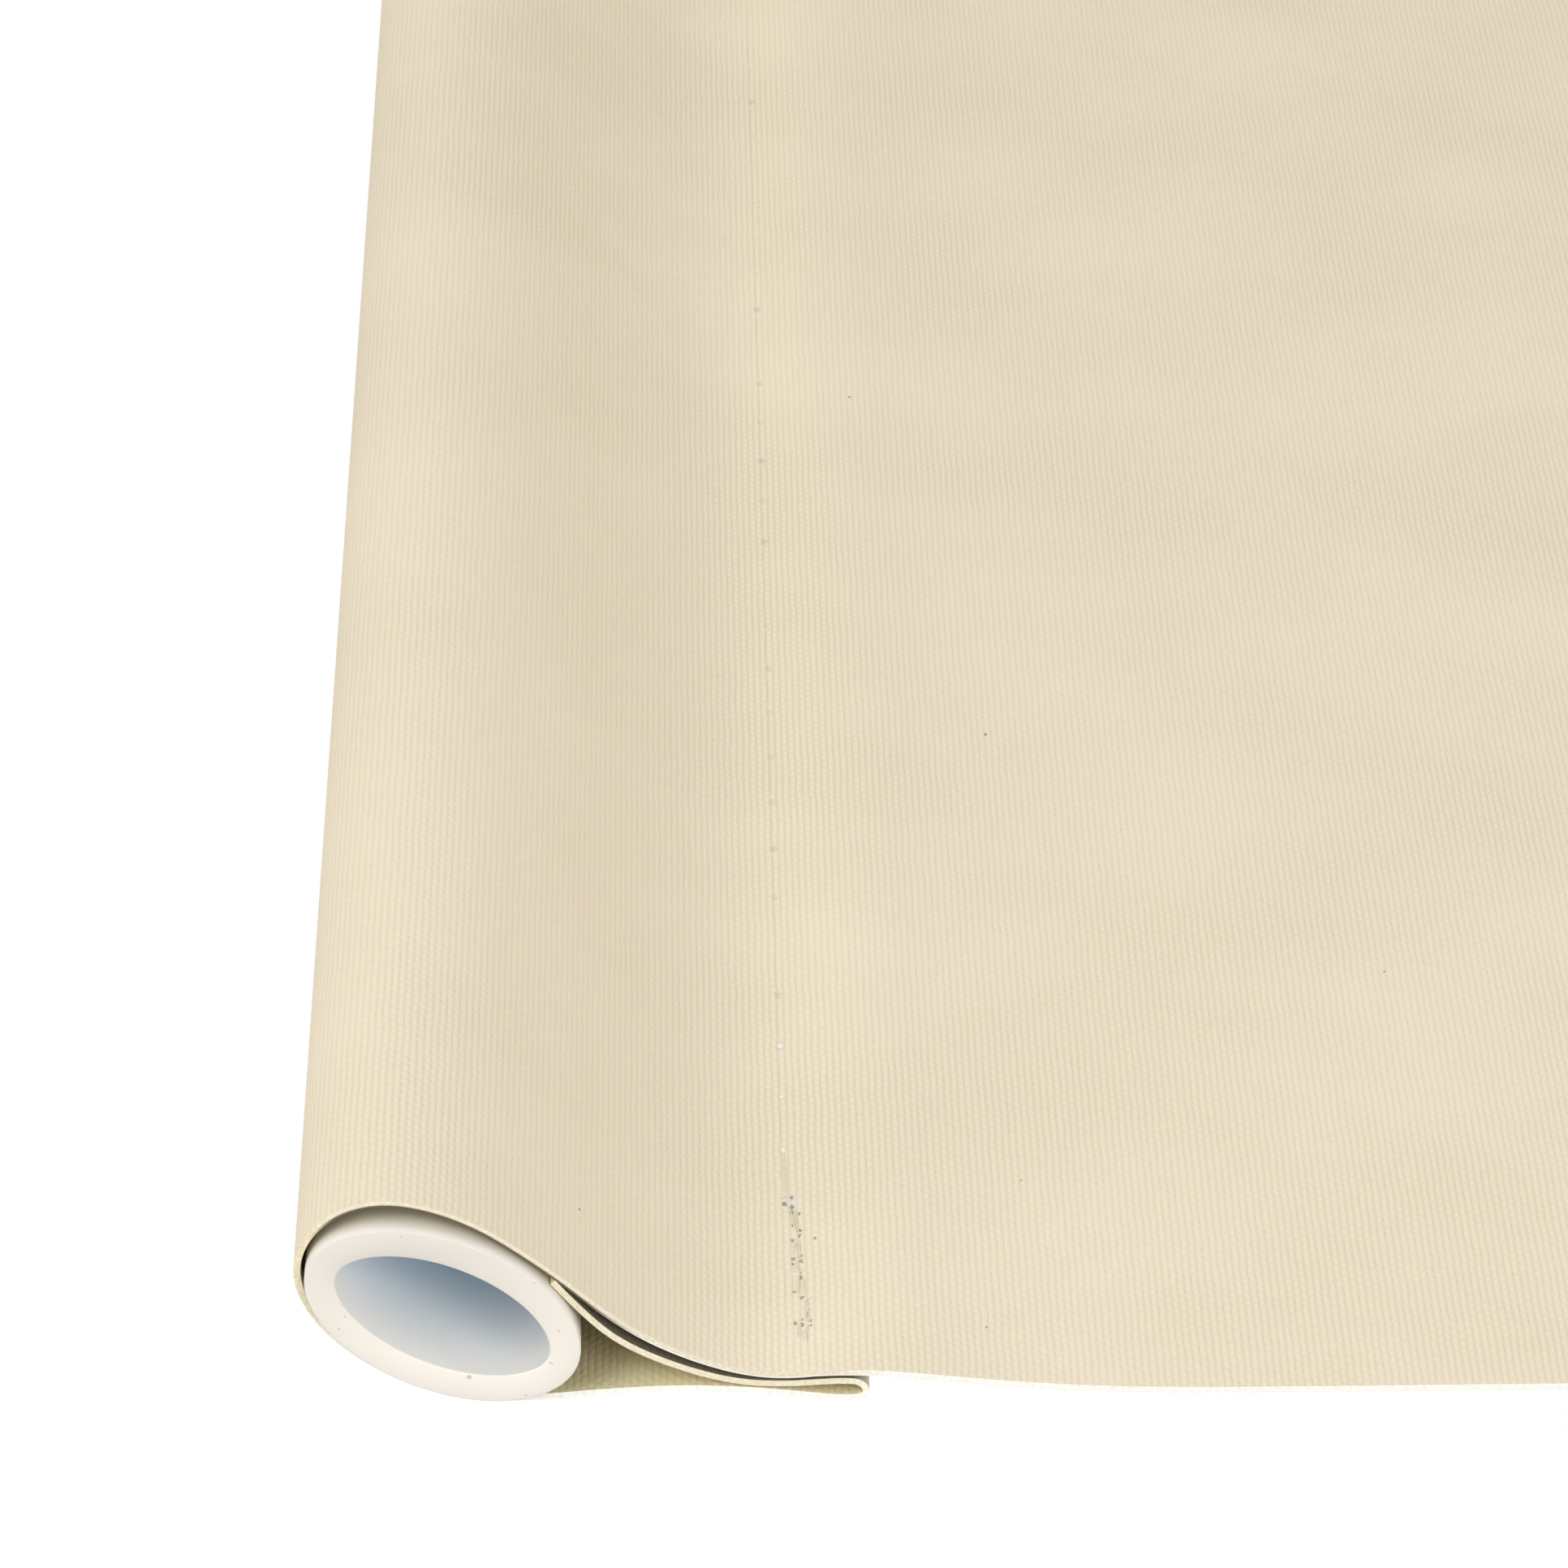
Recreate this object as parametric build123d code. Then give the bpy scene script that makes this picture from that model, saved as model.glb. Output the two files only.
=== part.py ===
from build123d import *
import os
from math import asin, cos, degrees, hypot, pi, radians, sin, tan

# Blackout roller blind that works by a spring, drawn down.
# Millimetres. X runs along the width, -Y faces the room, +Z is up.
# The origin is the middle of the four wall screws, on the wall.

# Cloth
cloth_width = 600.0
cloth_thickness = 0.42
turn_gap = 0.05
turns_left = 3
turns_to_raise = 8
gap_when_raised = 25.0

# Roller tube
tube_outer_r = 15.0
tube_wall = 1.2
tube_margin = 4.0
key_count = 3
key_width = 2.0
key_height = 1.5
tape_thickness = 0.12
tape_width = 5.0
tape_flat_depth = 0.25
tape_angle = -12.0
first_turn_gap = 0.12

# Clearances
running_fit = 0.05
seat_fit = 0.03
plug_fit = 0.1
loose_fit = 0.2
end_float = 0.3

# Oval hem tube and the pocket round it
hem_tube_long = 18.0
hem_tube_short = 10.8
hem_tube_wall = 1.9
hem_tube_tilt = 27.0
hem_gap = 0.14
pocket_height = 52.0
seam_height = 21.5
seam_sag = 0.7
seam_bulge_height = 2.1
seam_bulge = 0.25
fold_height = 25.75
fold_lift = 0.16
fold_inner_r = 0.12
turned_seam_drop = 0.6
turned_seam_pinch = 0.1
corner_share = 0.48

# End caps
flange_r = 16.2
flange_thickness = 3.0
spring_cap_length = 18.0
idle_cap_length = 24.0
cap_bore_r = 9.0
cap_web = 5.0

# Fixed shaft and ratchet
mechanism_gap = 8.0
shaft_r = 4.0
shaft_flat = 1.0
shaft_inner_length = 22.0
collar_r = 6.0
tang_thickness = 3.0
tang_width = 8.0
tang_reach = 5.0
ratchet_r = 7.4
ratchet_thickness = 4.0
ratchet_notches = 4

# Pawls
pawl_count = 2
pawl_pivot_r = 11.5
pawl_pivot_angle = 20.0
pawl_length = 10.5
pawl_hub_r = 2.6
pawl_tip_r = 1.1
pawl_thickness = 3.0
pawl_engaged_r = 6.9
pawl_swing = 20.0
rivet_r = 1.6
rivet_head_r = 2.4
rivet_head_thickness = 0.7
stop_lug_r = 1.0
stop_lug_place = 6.5

# Spring and the rod inside it
rod_r = 3.0
rod_seat_depth = 12.0
hub_r = 8.5
hub_thickness = 5.0
spring_boss_r = 7.0
spring_boss_length = 14.0
spring_turns = 6
spring_pitch = 13.5
spring_wire_deep = 1.6
spring_wire_wide = 1.3
anchor_length = 14.0
clip_r = 5.0
clip_thickness = 1.0
rod_groove_depth = 0.6
clip_mouth_share = 0.8

# Sprung idle pin
pin_r = 3.0
pin_collar_r = 4.5
pin_collar_length = 2.4
pin_travel = 7.5
pin_tail_r = 2.2
pin_tail_room = 1.5
pin_reach = 3.0
pin_lead_in = 0.8
pin_spring_turns = 3
pin_spring_length = 17.0
pin_wire = 0.8
seat_thickness = 2.0

# Brackets
sheet = 1.5
bend_r = 1.5
axis_from_wall = 30.0
nose_r = 11.0
foot_width = 20.0
foot_height = 40.0
foot_corner_r = 3.0
foot_root = 6.0
screw_hole_r = 2.25
screw_spacing = 24.0

# Worked out from the sizes above
axis_y = -axis_from_wall
turn_pitch = cloth_thickness + turn_gap
centre_shift = turn_pitch / 4
half_turns = 2 * turns_left
first_turn_r = tube_outer_r + first_turn_gap + cloth_thickness / 2 + centre_shift
outer_turn_r = first_turn_r + (half_turns - 1) * turn_pitch / 2
panel_y = axis_y + centre_shift + outer_turn_r
travel = turns_to_raise * 2 * pi * outer_turn_r
panel_length = travel + gap_when_raised
hem_long_depth = hem_tube_long * sin(radians(hem_tube_tilt))
hem_short_depth = hem_tube_short * cos(radians(hem_tube_tilt))
hem_half_depth = hypot(hem_long_depth, hem_short_depth) / 2
hem_lean = hem_half_depth + hem_gap
hem_y = panel_y - hem_lean
hem_z = -panel_length - pocket_height
half_cloth = cloth_width / 2
half_tube = half_cloth + tube_margin
flange_x = half_tube + flange_thickness
arm_x = flange_x + mechanism_gap
foot_x = arm_x + sheet + foot_width / 2
tube_inner_r = tube_outer_r - tube_wall
tape_flat = tube_outer_r - tape_flat_depth
pin_tail_length = pin_spring_length - pin_travel - pin_tail_room


def across(profile, x_from, x_to):
    """A YZ profile, drawn with Y to the right and Z up, run along the width."""
    return extrude(Plane.YZ.offset(x_from) * profile, amount=x_to - x_from)


def on_axis(profile):
    """Moves a profile drawn about (0, 0) to the roller's axis."""
    return Pos(axis_y, 0) * profile


def disc(r, x_from, x_to):
    """A round piece on the roller's axis."""
    return across(on_axis(Circle(r)), x_from, x_to)


def polar(r, angle):
    """A point about the roller's axis. The angle runs from +Y towards +Z."""
    return (r * cos(radians(angle)), r * sin(radians(angle)))


def key_bars(depth, width, r, x_from, x_to):
    """Bars along the roller, spaced as the tube's inner keys, from radius r inwards."""
    bar = Pos(r - depth / 2, 0) * Rectangle(depth, width)
    bars = Sketch() + [Rot(0, 0, k * 360 / key_count) * bar for k in range(key_count)]
    return across(on_axis(bars), x_from, x_to)


def keyed_plug(x_from, x_to):
    """A plug that fills the roller tube and is grooved for its keys."""
    r = tube_inner_r - plug_fit
    depth = key_height + 2 * plug_fit
    width = key_width + 2 * plug_fit
    return disc(r, x_from, x_to) - key_bars(depth, width, r + plug_fit, x_from, x_to)


def coil(mean_r, pitch, turns, deep, wide, x_from, centre_y):
    """A spring of flat wire about an axis along X."""
    path = Helix(pitch=pitch, height=pitch * turns, radius=mean_r)
    start = Plane(origin=path @ 0, x_dir=(1, 0, 0), z_dir=path % 0)
    wound = sweep(start * Rectangle(deep, wide), path=path, is_frenet=True)
    return Pos(x_from, centre_y, 0) * Rot(0, 90, 0) * wound


# Roller tube, extruded aluminium with three keys on its inner wall and a narrow flat for the tape

def make_roller_tube():
    ring = Circle(tube_outer_r) - Circle(tube_inner_r)
    flat = Pos(tape_flat + tube_wall / 2, 0) * Rectangle(tube_wall, tube_outer_r)
    ring -= Rot(0, 0, tape_angle) * flat
    root_r = tube_inner_r + tube_wall / 2
    keys = key_bars(key_height + tube_wall / 2, key_width, root_r, -half_tube, half_tube)
    return across(on_axis(ring), -half_tube, half_tube) + keys


# Cloth turns on the roller, a spiral of half turns about two centres

def turn_edge(side):
    """The half turns from the tangent at the back inwards. Side is 1 outside, -1 inside."""
    arcs = []
    for k in range(half_turns):
        r = outer_turn_r - k * turn_pitch / 2 + side * cloth_thickness / 2
        shift = centre_shift if k % 2 == 0 else -centre_shift
        arcs.append(CenterArc((axis_y + shift, 0), r, 180 * (k % 2), 180))
    return arcs


def make_cloth_roll():
    outside = turn_edge(1)
    inside = turn_edge(-1)
    start = Line(outside[0] @ 0, inside[0] @ 0)
    end = Line(outside[-1] @ 1, inside[-1] @ 1)
    return across(make_face(outside + inside + [start, end]), -half_cloth, half_cloth)


def make_fixing_tape():
    """Adhesive strip on the tube's flat, under the inner end of the cloth."""
    strip = Pos(tape_flat + tape_thickness / 2, 0) * Rectangle(tape_thickness, tape_width)
    return across(on_axis(Rot(0, 0, tape_angle) * strip), -half_cloth, half_cloth)


# Hanging cloth, flat from the roller's tangent to the curved hem

def make_cloth_panel():
    strip = Pos(panel_y, -panel_length / 2) * Rectangle(cloth_thickness, panel_length)
    return across(strip, -half_cloth, half_cloth)


# Hem. Its outline is drawn with u up the cloth and w towards the room, from the tube's centre.

def from_hem(u, w):
    return (hem_y - w, hem_z + u)


def oval(long_axis, short_axis):
    turned = Rot(0, 0, 90 - hem_tube_tilt) * Ellipse(long_axis / 2, short_axis / 2)
    return Pos(*from_hem(0, 0)) * turned


def make_hem_tube():
    outer = oval(hem_tube_long, hem_tube_short)
    inner = oval(hem_tube_long - 2 * hem_tube_wall, hem_tube_short - 2 * hem_tube_wall)
    return across(outer - inner, -half_cloth, half_cloth)


def off_tube(angle, gap, layers):
    """A point that stands off the oval tube by a gap and some layers of cloth."""
    a = hem_tube_long / 2
    b = hem_tube_short / 2
    run = Vector(cos(radians(angle)) / a, sin(radians(angle)) / b).normalized()
    away = gap + layers * cloth_thickness
    x = a * cos(radians(angle)) + away * run.X
    y = b * sin(radians(angle)) + away * run.Y
    turn = radians(hem_tube_tilt)
    return (x * cos(turn) + y * sin(turn), y * cos(turn) - x * sin(turn))


def between(start, end, shares):
    """Points from start to end, each given by its share of the two distances."""
    return [(start[0] + (end[0] - start[0]) * u, start[1] + (end[1] - start[1]) * w) for u, w in shares]


# Heights of the stacked layers at the seam, from the back of the cloth towards the room
back_w = -hem_lean - cloth_thickness / 2
fold_low_w = back_w + fold_lift
fold_top_w = fold_low_w + 2 * (cloth_thickness + fold_inner_r)
seam_w = fold_top_w + cloth_thickness + turn_gap

# How the cloth stands off the tube, as angle and gap: front layer, back layer and turned-in edge
front_wrap = [(54, 0.18), (75, 0.38), (94, 0.72), (113, 1.08), (131, 1.32), (148, 1.15), (167, 0.70)]
back_wrap = [(188, 0.36), (209, 0.27), (230, 0.24), (249, 0.14), (270, 0.22), (291, 0.30), (315, 0.24)]
turned_wrap = [(36.6, 0.3), (55.9, 0.08)]


def hem_outline():
    """Corners of the hem cloth's outer face, from the panel to the turned-in edge."""
    panel_end = (pocket_height, back_w + cloth_thickness)
    over_fold = (seam_height + seam_bulge_height, seam_w + seam_bulge)
    seam = (seam_height - seam_sag, seam_w)
    front_foot = off_tube(*front_wrap[0], 2)
    turned_seam = (seam_height - turned_seam_drop, fold_top_w - turned_seam_pinch)
    turned_foot, turned_end = [off_tube(*place, 1) for place in turned_wrap]
    points = [panel_end]
    points += between(panel_end, over_fold, [(0.26, 0.01), (0.49, 0.18), (0.70, 0.54), (0.86, 0.90)])
    points += [over_fold, seam]
    points += between(seam, front_foot, [(0.19, 0.05), (0.41, 0.20), (0.64, 0.43), (0.84, 0.72)])
    points += [front_foot] + [off_tube(*place, 1) for place in front_wrap[1:] + back_wrap]
    fold_low = (fold_height, fold_low_w)
    points += between(points[-1], fold_low, [(0.15, 0.73), (0.28, 1.31), (0.48, 1.80), (0.74, 1.22)])
    points += [fold_low, (fold_height, fold_top_w), turned_seam]
    points += between(turned_seam, turned_foot, [(0.24, 0.03), (0.52, 0.23), (0.81, 0.57)])
    return points + [turned_foot, turned_end]


def rounded(points):
    """Straight runs with the largest arcs that fit between them."""
    corners = [Vector(*from_hem(*p)) for p in points]
    radii = []
    for before, corner, after in zip(corners, corners[1:], corners[2:]):
        shorter = min((corner - before).length, (after - corner).length)
        turn = radians((corner - before).get_angle(after - corner))
        radii.append(corner_share * shorter / tan(turn / 2))
    return FilletPolyline(*corners, radius=radii)


def make_hem_pocket():
    face = rounded(hem_outline())
    band = face.offset_2d(cloth_thickness, side=Side.RIGHT)
    return across(make_face(band), -half_cloth, half_cloth)


# Fixed shaft: tang, collar, journal with a flat for the ratchet wheel, and a blind hole for the rod

shaft_end_x = -half_tube + shaft_inner_length
collar_x = -arm_x + end_float
ratchet_x = -flange_x - end_float - ratchet_thickness
hub_x = shaft_end_x - hub_thickness


def flatted(r):
    """Round section with one flat, for pieces that must not turn on each other."""
    cut = Pos(0, r) * Rectangle(2 * r, 2 * shaft_flat)
    return on_axis(Circle(r) - cut)


def make_tang_shaft():
    tang = on_axis(Rectangle(tang_thickness, tang_width))
    shaft = across(tang, -arm_x - sheet - tang_reach, collar_x)
    shaft += disc(collar_r, collar_x, ratchet_x)
    shaft += across(flatted(shaft_r), ratchet_x, ratchet_x + ratchet_thickness)
    shaft += disc(shaft_r, ratchet_x + ratchet_thickness, hub_x)
    shaft += across(flatted(shaft_r), hub_x, shaft_end_x)
    return shaft - disc(rod_r + seat_fit, shaft_end_x - rod_seat_depth, shaft_end_x)


# Ratchet wheel and the pawls that drop into its notches

def pawl_outline(grow, lift):
    """A pawl about a pivot on the +Y side. Lift is the angle out of its notch."""
    across_angle = degrees(pawl_reach_angle())
    tip = (-pawl_length * cos(radians(across_angle + lift)), pawl_length * sin(radians(across_angle + lift)))
    hub = Circle(pawl_hub_r + grow)
    nose = Pos(*tip) * Circle(pawl_tip_r + grow)
    return Pos(pawl_pivot_r, 0) * make_hull((hub + nose).edges())


def pawl_reach_angle():
    """Angle at the pivot between the axis and the tip, with the tip in its notch."""
    along = (pawl_pivot_r**2 + pawl_length**2 - pawl_engaged_r**2) / (2 * pawl_pivot_r * pawl_length)
    return pi / 2 - asin(along)


def make_ratchet_wheel():
    notch = Sketch() + [pawl_outline(loose_fit, lift) for lift in (0, pawl_swing / 5, pawl_swing / 2)]
    wheel = Circle(ratchet_r)
    for k in range(ratchet_notches):
        wheel -= Rot(0, 0, pawl_pivot_angle + k * 360 / ratchet_notches) * notch
    solid = across(on_axis(wheel), ratchet_x, ratchet_x + ratchet_thickness)
    return solid - across(flatted(shaft_r + seat_fit), ratchet_x, ratchet_x + ratchet_thickness)


pawl_x = -flange_x - end_float - pawl_thickness


def pawl_angle(k):
    return pawl_pivot_angle + k * 360 / pawl_count


def make_pawl(k):
    hole = Pos(pawl_pivot_r, 0) * Circle(rivet_r + running_fit)
    outline = Rot(0, 0, pawl_angle(k)) * (pawl_outline(0, pawl_swing) - hole)
    return across(on_axis(outline), pawl_x, pawl_x + pawl_thickness)


def make_pawl_rivets():
    head_x = pawl_x - end_float
    rivets = []
    for k in range(pawl_count):
        y, z = polar(pawl_pivot_r, pawl_angle(k))
        shank = Pos(axis_y + y, z) * Circle(rivet_r)
        head = Pos(axis_y + y, z) * Circle(rivet_head_r)
        rivet = across(shank, head_x, -half_tube) + across(head, head_x - rivet_head_thickness, head_x)
        rivets.append(rivet)
    return Compound(rivets)


# End cap on the spring side: keyed plug, flange, shaft bearing, rivet holes and two stop lugs

def stop_lug(k):
    """Where the back of a lifted pawl comes to rest."""
    angle = 180 - degrees(pawl_reach_angle()) - pawl_swing
    share = stop_lug_place / pawl_length
    half_width = pawl_hub_r + (pawl_tip_r - pawl_hub_r) * share
    lean = degrees(asin((pawl_hub_r - pawl_tip_r) / pawl_length))
    off = half_width / cos(radians(lean)) + stop_lug_r + running_fit
    y = pawl_pivot_r + stop_lug_place * cos(radians(angle)) + off * cos(radians(angle - 90))
    z = stop_lug_place * sin(radians(angle)) + off * sin(radians(angle - 90))
    return Rot(0, 0, pawl_angle(k)) * Pos(y, z) * Circle(stop_lug_r)


def make_spring_end_cap():
    cap = keyed_plug(-half_tube, -half_tube + spring_cap_length)
    cap += disc(flange_r, -flange_x, -half_tube)
    for k in range(pawl_count):
        cap += across(on_axis(stop_lug(k)), -flange_x - pawl_thickness, -flange_x)
        y, z = polar(pawl_pivot_r, pawl_angle(k))
        cap -= across(Pos(axis_y + y, z) * Circle(rivet_r + seat_fit), -flange_x, -half_tube)
    cap -= disc(shaft_r + running_fit, -flange_x, -half_tube + spring_cap_length)
    return cap - disc(cap_bore_r, -half_tube + cap_web, -half_tube + spring_cap_length)


# Torsion spring, fixed hub, rod, anchor plug and clip

anchor_x = shaft_end_x + spring_turns * spring_pitch + end_float
spring_r = spring_boss_r + running_fit + spring_wire_deep / 2
rod_end_x = anchor_x + anchor_length + end_float + 2 * clip_thickness


def make_spring_hub():
    hub = disc(hub_r, hub_x, shaft_end_x)
    hub -= across(flatted(shaft_r + seat_fit), hub_x, shaft_end_x)
    boss = disc(spring_boss_r, shaft_end_x, shaft_end_x + spring_boss_length)
    boss -= disc(rod_r + seat_fit, shaft_end_x, shaft_end_x + spring_boss_length)
    return hub + boss


def make_spring_rod():
    groove_x = rod_end_x - 2 * clip_thickness
    rod = disc(rod_r, shaft_end_x - rod_seat_depth, rod_end_x)
    ring = disc(rod_r, groove_x, groove_x + clip_thickness)
    return rod - (ring - disc(rod_r - rod_groove_depth, groove_x, groove_x + clip_thickness))


def make_rod_clip():
    """Open ring that snaps into the rod's groove."""
    groove_x = rod_end_x - 2 * clip_thickness
    ring = Circle(clip_r) - Circle(rod_r - rod_groove_depth + seat_fit)
    mouth_width = 2 * (rod_r - rod_groove_depth) * clip_mouth_share
    mouth = Pos(0, -clip_r / 2) * Rectangle(mouth_width, clip_r)
    return across(on_axis(ring - mouth), groove_x, groove_x + clip_thickness)


def make_torsion_spring():
    start = shaft_end_x + spring_wire_wide / 2 + seat_fit
    length = anchor_x - shaft_end_x - spring_wire_wide - 2 * seat_fit
    pitch = length / spring_turns
    return coil(spring_r, pitch, spring_turns, spring_wire_deep, spring_wire_wide, start, axis_y)


def make_spring_anchor_plug():
    plug = keyed_plug(anchor_x, anchor_x + anchor_length)
    plug += disc(spring_boss_r, anchor_x - spring_boss_length, anchor_x)
    return plug - disc(rod_r + running_fit, anchor_x - spring_boss_length, anchor_x + anchor_length)


# Idle end: cap, sprung pin, its spring and the disc that closes the bore

cap_inner_x = half_tube - idle_cap_length
collar_face_x = half_tube + flange_thickness - cap_web
pin_back_x = collar_face_x - seat_fit - pin_collar_length
seat_x = pin_back_x - pin_spring_length - seat_thickness


def make_idle_end_cap():
    cap = keyed_plug(cap_inner_x, half_tube)
    cap += disc(flange_r, half_tube, flange_x)
    cap -= disc(pin_r + running_fit, collar_face_x, flange_x)
    return cap - disc(pin_collar_r + running_fit, cap_inner_x, collar_face_x)


def make_idle_pin():
    tip_x = arm_x + sheet + pin_reach
    pin = disc(pin_r, pin_back_x + pin_collar_length, tip_x)
    pin = chamfer(pin.faces().sort_by(Axis.X)[-1].edges(), pin_lead_in)
    pin += disc(pin_collar_r, pin_back_x, pin_back_x + pin_collar_length)
    return pin + disc(pin_tail_r, pin_back_x - pin_tail_length, pin_back_x)


def make_pin_spring():
    mean_r = (pin_collar_r + pin_tail_r) / 2
    length = pin_spring_length - pin_wire - 2 * seat_fit
    start = pin_back_x - pin_spring_length + pin_wire / 2 + seat_fit
    return coil(mean_r, length / pin_spring_turns, pin_spring_turns, pin_wire, pin_wire, start, axis_y)


def make_spring_seat():
    return disc(pin_collar_r, seat_x, seat_x + seat_thickness)


# Wall brackets, pressed from sheet steel: a foot for two screws and an arm

def bracket_arm():
    """The arm seen from the side: full height at the wall, a round nose about the axis."""
    root = Pos(-foot_root / 2, 0) * Rectangle(foot_root, foot_height)
    nose = Pos(axis_y, 0) * Circle(nose_r)
    return make_hull((root + nose).edges())


def make_bracket():
    """The bracket at the +X end, with no opening for the roller yet."""
    reach = axis_from_wall + nose_r
    arm = Pos(arm_x + sheet / 2, -reach / 2) * Rectangle(sheet, reach)
    foot = Pos(arm_x + (sheet + foot_width) / 2, -sheet / 2) * Rectangle(sheet + foot_width, sheet)
    angle = arm + foot
    inner = angle.vertices().sort_by_distance((arm_x + sheet, -sheet, 0))[0]
    angle = fillet(inner, bend_r)
    outer = angle.vertices().sort_by_distance((arm_x, 0, 0))[0]
    angle = fillet(outer, bend_r + sheet)
    bent = extrude(Plane.XY.offset(-foot_height / 2) * angle, amount=foot_height)
    bent &= across(bracket_arm(), arm_x, arm_x + sheet + foot_width)
    far = bent.edges().filter_by(Axis.Y).group_by(Axis.X)[-1]
    bent = fillet(far, foot_corner_r)
    for side in (-1, 1):
        hole = Pos(foot_x, 0, side * screw_spacing / 2) * Rot(90, 0, 0)
        bent -= hole * Cylinder(screw_hole_r, 4 * sheet)
    return bent


def make_pin_end_bracket():
    return make_bracket() - disc(pin_r + running_fit, arm_x, arm_x + sheet)


def make_spring_end_bracket():
    bracket = mirror(make_bracket(), about=Plane.YZ)
    bottom = -tang_width / 2 - running_fit
    width = tang_thickness + 2 * loose_fit
    height = nose_r - bottom + foot_height
    slot = Pos(0, bottom + height / 2) * Rectangle(width, height)
    return bracket - across(on_axis(slot), -arm_x - sheet, -arm_x)


nodes = {
    "roller_tube": make_roller_tube(),
    "cloth_roll": make_cloth_roll(),
    "fixing_tape": make_fixing_tape(),
    "cloth_panel": make_cloth_panel(),
    "hem_tube": make_hem_tube(),
    "hem_pocket": make_hem_pocket(),
    "tang_shaft": make_tang_shaft(),
    "ratchet_wheel": make_ratchet_wheel(),
    "upper_pawl": make_pawl(0),
    "lower_pawl": make_pawl(1),
    "pawl_rivets": make_pawl_rivets(),
    "spring_end_cap": make_spring_end_cap(),
    "spring_hub": make_spring_hub(),
    "spring_rod": make_spring_rod(),
    "rod_clip": make_rod_clip(),
    "torsion_spring": make_torsion_spring(),
    "spring_anchor_plug": make_spring_anchor_plug(),
    "idle_end_cap": make_idle_end_cap(),
    "idle_pin": make_idle_pin(),
    "pin_spring": make_pin_spring(),
    "spring_seat": make_spring_seat(),
    "spring_end_bracket": make_spring_end_bracket(),
    "pin_end_bracket": make_pin_end_bracket(),
}

os.makedirs("parts", exist_ok=True)
for name, shape in nodes.items():
    export_step(shape, f"parts/{name}.step")
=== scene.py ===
import math
import random
import bpy
from mathutils import Matrix, Vector


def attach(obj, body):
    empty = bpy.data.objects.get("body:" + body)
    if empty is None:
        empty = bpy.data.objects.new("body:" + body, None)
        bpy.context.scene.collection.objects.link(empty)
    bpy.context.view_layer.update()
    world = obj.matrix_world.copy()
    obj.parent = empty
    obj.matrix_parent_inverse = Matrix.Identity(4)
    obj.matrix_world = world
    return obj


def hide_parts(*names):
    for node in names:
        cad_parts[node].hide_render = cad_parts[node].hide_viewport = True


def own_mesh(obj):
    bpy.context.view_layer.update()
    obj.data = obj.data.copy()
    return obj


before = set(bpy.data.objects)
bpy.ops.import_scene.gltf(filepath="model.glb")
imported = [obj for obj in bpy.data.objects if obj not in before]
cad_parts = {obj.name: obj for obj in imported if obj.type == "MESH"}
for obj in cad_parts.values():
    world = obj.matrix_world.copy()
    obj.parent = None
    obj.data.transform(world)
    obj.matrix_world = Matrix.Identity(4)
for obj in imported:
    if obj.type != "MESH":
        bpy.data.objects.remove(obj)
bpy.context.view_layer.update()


# Camera
# It looks at the blind's lower corner from the idle end and the room side,
# a little down the hem tube, and is rolled so that the hem lies on its side.

bpy.ops.object.select_all(action="DESELECT")
bpy.ops.object.camera_add()
camera = bpy.context.object
camera.data.sensor_width = 36.0
camera.data.lens = 176.4
camera.data.clip_start = 0.02
camera.data.clip_end = 50.0
view_right = Vector((0.0166, 0.0019, 0.9999))
view_up = Vector((-0.4999, -0.8660, 0.0099))
view_back = view_right.cross(view_up)
hem_tube_end = Vector((0.300, -0.019712, -0.912538))
aside, above, away = 0.02079, 0.03218, 0.4687
camera_place = hem_tube_end + aside * view_right + above * view_up + away * view_back
camera.matrix_world = Matrix((
    (view_right.x, view_up.x, view_back.x, camera_place.x),
    (view_right.y, view_up.y, view_back.y, camera_place.y),
    (view_right.z, view_up.z, view_back.z, camera_place.z),
    (0, 0, 0, 1)))
bpy.context.scene.camera = camera
bpy.context.scene.view_settings.view_transform = "Standard"


# Wall brackets
# Each is pressed from one strip of steel sheet, 1.5 mm thick, with its foot bent
# outwards. The holes are punched before the powder coat is baked on.

def new_material(name):
    """A material with its shader, ready for nodes in front of it."""
    made = bpy.data.materials.new(name)
    made.use_nodes = True
    return made, made.node_tree, made.node_tree.nodes["Principled BSDF"]


def add_node(tree, kind, links=(), **settings):
    """A node with its settings, and links given as (its socket, the socket that feeds it)."""
    node = tree.nodes.new(kind)
    for key, value in settings.items():
        setattr(node, key, value)
    for socket, source in links:
        if hasattr(source, "is_linked"):
            tree.links.new(source, node.inputs[socket])
        else:
            node.inputs[socket].default_value = source
    return node


def ranged(tree, value, start, end, first=0.0, last=1.0):
    """A value taken from one range to another and held inside it."""
    links = [("Value", value), ("From Min", start), ("From Max", end), ("To Min", first), ("To Max", last)]
    return add_node(tree, "ShaderNodeMapRange", links).outputs[0]


def tinted(tree, colour, mask, tint):
    """A colour that goes over to a tint where the mask is."""
    links = [(0, mask), (6, colour), (7, (*tint, 1))]
    return add_node(tree, "ShaderNodeMix", links, data_type="RGBA").outputs[2]


def add_bump(tree, shader, height, strength, depth):
    """Gives a shader its small relief."""
    links = [("Height", height), ("Strength", strength), ("Distance", depth)]
    tree.links.new(add_node(tree, "ShaderNodeBump", links).outputs[0], shader.inputs["Normal"])


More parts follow.
